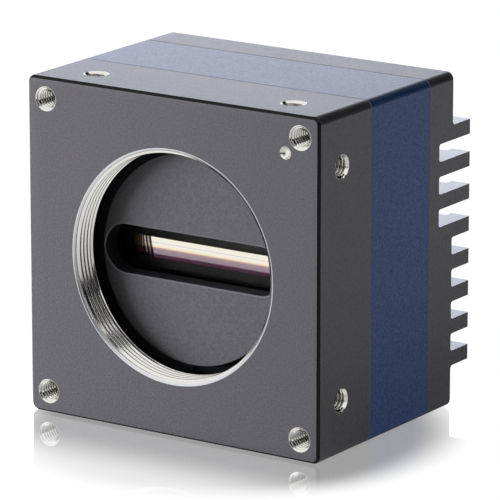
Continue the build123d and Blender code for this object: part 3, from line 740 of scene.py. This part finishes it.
def tapped_hole(depth):
    """A tapped hole's thread, then the drill's cone: height = radius / tan(half its angle)."""
    drill_radius = tapped_radius - ridge_height * tapped_pitch
    bottom = depth - hole_bottom_gap
    thread_end = bottom - drill_radius / np.tan(np.radians(drill_half_angle))
    thread = inner_thread(
        tapped_radius,
        tapped_pitch,
        tapped_mouth_radius,
        tapped_lip,
        thread_end,
        tapped_steps,
        tapped_corner_steps,
    )
    drilled = revolved([(drill_radius, thread_end), (0.0, bottom)], tapped_steps)
    return np.concatenate([thread, drilled])


corner = tapped_hole(corner_hole_depth)
corner_places = [
    (x * corner_hole_offset, 0, z * corner_hole_offset) for x in (-1, 1) for z in (-1, 1)
]
piece_from_grids(
    "corner_hole_threads",
    [placed(corner, place, **front) for place in corner_places],
    bare_cut,
    flip=True,
)

side = tapped_hole(side_hole_depth)
side_grids = []
for x, z in ((1, 0), (-1, 0), (0, 1), (0, -1)):
    for along in (-side_hole_offset, side_hole_offset):
        origin = (x * half_width + z * along, side_hole_setback, z * half_width + x * along)
        across = (0, 1, 0)
        inward = (-x, 0, -z)
        up = np.cross(inward, across)
        side_grids.append(placed(side, origin, across, up, inward))
piece_from_grids("side_hole_threads", side_grids, bare_cut)

# the dowel hole: a short wall, then a dish that starts at the given slope and ends flat
dish_rows, dish_steps = 16, 64
slope = np.radians(np.linspace(dowel_dish_slope, 0, dish_rows))
dish_radius = dowel_radius / np.sin(slope[0])
dish_depth = dowel_wall + dish_radius * (np.cos(slope) - np.cos(slope[0]))
dish = np.column_stack([dish_radius * np.sin(slope), dish_depth])
dowel = revolved(np.vstack([[(dowel_mouth_radius, 0)], dish]), dish_steps)
piece_from_grids(
    "dowel_hole_wall",
    [placed(dowel, (dowel_offset, 0, dowel_offset), **front)],
    bare_reamed,
    flip=True,
)


# Floor, light and camera

# metres; the floor lies a little below the body, so that the two planes stay apart
floor_reach = 4.0
floor_z = -(half_width + 0.05) * MM
floor_corners = [
    (x * floor_reach, y * floor_reach, floor_z) for x, y in ((-1, -1), (1, -1), (1, 1), (-1, 1))
]
floor_mesh = bpy.data.meshes.new("floor")
floor_mesh.from_pydata(floor_corners, [], [(0, 1, 2, 3)])
floor = bpy.data.objects.new("floor", floor_mesh)
bpy.context.scene.collection.objects.link(floor)


def shown_white(tree):
    """1 where the surroundings are seen, even in metal or through glass, 0 where they only light.

    So the sheet and the backdrop can look pure white and still light the object softly.
    """
    path = add(tree, "LightPath").outputs
    seen = path["Is Camera Ray"]
    for kind in ("Is Glossy Ray", "Is Transmission Ray"):
        seen = add(tree, "Math", {"operation": "MAXIMUM"}, {0: seen, 1: path[kind]}).outputs[0]
    scattered = path["Diffuse Depth"]
    return add(
        tree, "Math", {"operation": "SUBTRACT", "use_clamp": True}, {0: seen, 1: scattered}
    ).outputs[0]


def floor_finish():
    """White sweep: a polished sheet under the object, whose mirror image fades with distance."""
    material, tree = new_material("white acrylic sheet, polished")
    place = add(tree, "TexCoord").outputs["Object"]
    mirror_centre = (5.9 * MM, 10 * MM, floor_z)
    away = add(
        tree, "VectorMath", {"operation": "DISTANCE"}, {0: place, 1: mirror_centre}
    ).outputs["Value"]
    gloss = add(
        tree,
        "MapRange",
        {"interpolation_type": "SMOOTHSTEP"},
        {"Value": away, "From Min": 32 * MM, "From Max": 45 * MM, "To Min": 0.68, "To Max": 0.0},
    ).outputs["Result"]
    # distance from the body's outline on the floor: length of max(|place - centre| - half, 0)
    centre, half = (0, half_depth * MM, floor_z), (half_width * MM, half_depth * MM, 0)
    offset = place
    for operation, values in (
        ("SUBTRACT", {1: centre}),
        ("ABSOLUTE", {}),
        ("SUBTRACT", {1: half}),
        ("MAXIMUM", {1: (0, 0, 0)}),
    ):
        step = add(tree, "VectorMath", {"operation": operation}, {0: offset, **values})
        offset = step.outputs[0]
    outside = add(tree, "VectorMath", {"operation": "LENGTH"}, {0: offset}).outputs["Value"]
    near = add(
        tree,
        "MapRange",
        {"interpolation_type": "SMOOTHSTEP"},
        {"Value": outside, "From Min": 6 * MM, "From Max": 24 * MM, "To Min": 1.0, "To Max": 0.35},
    ).outputs["Result"]
    gloss = add(tree, "Math", {"operation": "MULTIPLY"}, {0: gloss, 1: near}).outputs[0]
    seen = shown_white(tree)
    lit = add(tree, "BsdfDiffuse", inputs={"Color": linear("#EDEDED")})
    # painted shadow: the sheet is darker on the right, most of all beside and behind the body, as
    # if in its shadow; only metal shows this
    along = add(tree, "SeparateXYZ", inputs={0: place}).outputs
    right = add(
        tree,
        "MapRange",
        inputs={"Value": along["X"], "From Min": -50 * MM, "From Max": 50 * MM, "To Max": 0.45},
    ).outputs["Result"]
    beside = add(
        tree,
        "MapRange",
        inputs={
            "Value": along["X"],
            "From Min": 45 * MM,
            "From Max": 75 * MM,
            "To Min": 0.6,
            "To Max": 0.0,
        },
    ).outputs["Result"]
    behind = add(
        tree, "MapRange", inputs={"Value": along["Y"], "From Min": 0.0, "From Max": 20 * MM}
    ).outputs["Result"]
    right = add(
        tree, "Math", {"operation": "MULTIPLY_ADD"}, {0: beside, 1: behind, 2: right}
    ).outputs[0]
    glossy = add(tree, "LightPath").outputs["Is Glossy Ray"]
    painted_shadow_share = add(tree, "Math", {"operation": "MULTIPLY"}, {0: right, 1: glossy}).outputs[0]
    strength = add(tree, "Math", {"operation": "SUBTRACT"}, {0: 1.0, 1: painted_shadow_share}).outputs[0]
    # what is seen is mostly the sheet's own even white, lifted so that it shows as pure white
    white = add(tree, "Emission", inputs={"Color": linear("#FFFFFF"), "Strength": strength})
    pale = add(tree, "MixShader", inputs={0: 0.85, 1: lit.outputs[0], 2: white.outputs[0]})
    lifted = add(tree, "Emission", inputs={"Color": linear("#FFFFFF"), "Strength": 0.15})
    shown = add(tree, "AddShader", inputs={0: pale.outputs[0], 1: lifted.outputs[0]})
    mirror = add(tree, "BsdfGlossy", inputs={"Color": linear("#FFFFFF"), "Roughness": 0.03})
    mirrored = add(tree, "MixShader", inputs={0: gloss, 1: shown.outputs[0], 2: mirror.outputs[0]})
    # the light it sends back to the object is that of a grey sheet
    grey = add(tree, "BsdfDiffuse", inputs={"Color": linear("#808080")})
    mixed = add(tree, "MixShader", inputs={0: seen, 1: grey.outputs[0], 2: mirrored.outputs[0]})
    add(tree, "OutputMaterial", inputs={"Surface": mixed.outputs[0]})
    return material


floor_mesh.materials.append(floor_finish())

world = bpy.data.worlds.new("studio")
bpy.context.scene.world = world
world.use_nodes = True
tree = world.node_tree
tree.nodes.clear()
seen = shown_white(tree)
ambient = add(tree, "Background", inputs={"Color": linear("#FFFFFF"), "Strength": 0.08})
backdrop = add(tree, "Background", inputs={"Color": linear("#FFFFFF"), "Strength": 1.0})
mixed = add(
    tree, "MixShader", inputs={0: seen, 1: ambient.outputs[0], 2: backdrop.outputs[0]}
)
add(tree, "OutputWorld", inputs={"Surface": mixed.outputs[0]})


def aimed(place, target):
    """Matrix of a camera or lamp at place that looks at target, upright."""
    place, target = Vector(place), Vector(target)
    turn = (target - place).to_track_quat("-Z", "Y")
    return Matrix.Translation(place) @ turn.to_matrix().to_4x4()


def lamp(name, place, target, size, power, mirrored=True):
    """A soft box lamp with its width and height in metres and its power in watts.

    mirrored says whether metal shows it.
    """
    data = bpy.data.lights.new(name, "AREA")
    data.shape = "RECTANGLE"
    data.size, data.size_y = size
    data.energy = power
    light = bpy.data.objects.new(name, data)
    light.matrix_world = aimed(place, target)
    light.visible_camera = False
    light.visible_glossy = mirrored
    bpy.context.scene.collection.objects.link(light)
    return light


def studio_wall(name, start, end, low, high, material):
    """An upright card that the camera sees only in metal: from start to end (x, y), low to high."""
    corners = [(*start, low), (*end, low), (*end, high), (*start, high)]
    mesh = bpy.data.meshes.new(name)
    mesh.from_pydata(corners, [], [(0, 1, 2, 3)])
    mesh.materials.append(material)
    card = bpy.data.objects.new(name, mesh)
    card.visible_camera = False
    bpy.context.scene.collection.objects.link(card)


def rising_light():
    """A wall that is black at the floor and grows to a bluish white at its top."""
    material, tree = new_material("painted wall, lit from above")
    place = add(tree, "TexCoord").outputs["Object"]
    height = add(tree, "SeparateXYZ", inputs={0: place}).outputs["Z"]
    share = add(tree, "MapRange", inputs={"Value": height, "From Min": 0.0, "From Max": wall_top})
    greys = [
        (0.0, "#050505"),
        (0.3, "#0C0E10"),
        (0.4, "#59646E"),
        (0.65, "#A8B3BB"),
        (1.0, "#F4F6F8"),
    ]
    colours = add(tree, "ValToRGB", inputs={"Fac": share.outputs["Result"]}, stops=greys)
    glow = add(tree, "Emission", inputs={"Color": colours.outputs["Color"], "Strength": 1.0})
    dark = add(tree, "BsdfDiffuse", inputs={"Color": linear("#101010")})
    seen = shown_white(tree)
    mixed = add(tree, "MixShader", inputs={0: seen, 1: dark.outputs[0], 2: glow.outputs[0]})
    add(tree, "OutputMaterial", inputs={"Surface": mixed.outputs[0]})
    return material


# heights of the studio walls in metres
wall_base, wall_top, wall_split = -0.03, 2.2, 0.55
# hung cloth: a black that metal mirrors as dark stripes
black_felt = plain("black felt", "#040404", 0.0, 0.95, IOR=1.2)
front_paint = rising_light()

# the key lamp grazes the front from the left, the rim lamp edges the top, the fill lifts the right
middle = (0, 0.02, 0)
lamp("key", (-0.42, -0.27, 0.02), middle, (0.32, 0.1), 3.92, mirrored=False)
rim = lamp("rim", (-0.65, 0.98, 0.30), middle, (0.5, 0.3), 1.85)
rim.data.color = linear("#E4EBFF")[:3]
lamp("fill", (0.8, 0.35, 0.14), middle, (0.5, 0.3), 1.75, mirrored=False)

# the walls give the bare thread and the glossy edges their dark and grey bands
studio_wall("front_wall", (0.27, -1.3), (1.2, -1.3), wall_base, wall_top, front_paint)
studio_wall("front_post", (-0.02, -1.3), (0.19, -1.3), wall_base, 0.8, black_felt)
studio_wall("front_right_wall", (1.2, -1.3), (1.2, -0.3), wall_base, 0.5, black_felt)
studio_wall("right_wall", (1.2, 0.3), (1.2, 1.4), wall_base, 1.0, black_felt)
studio_wall("back_wall", (1.2, 1.4), (-0.35, 1.4), wall_split, 1.7, black_felt)
studio_wall("back_low_wall", (1.2, 1.4), (0.1, 1.4), wall_base, wall_split, black_felt)

# place, target and focal length as solved from the corners, holes and edges in the photo
camera_data = bpy.data.cameras.new("camera")
camera_data.sensor_width = 36.0
camera_data.lens = 341.3
camera = bpy.data.objects.new("camera", camera_data)
camera.matrix_world = aimed((0.4604, -0.6604, 0.2147), (0.01666, 0, 0.00568))
bpy.context.scene.collection.objects.link(camera)
bpy.context.scene.camera = camera
bpy.context.scene.view_settings.view_transform = "Standard"
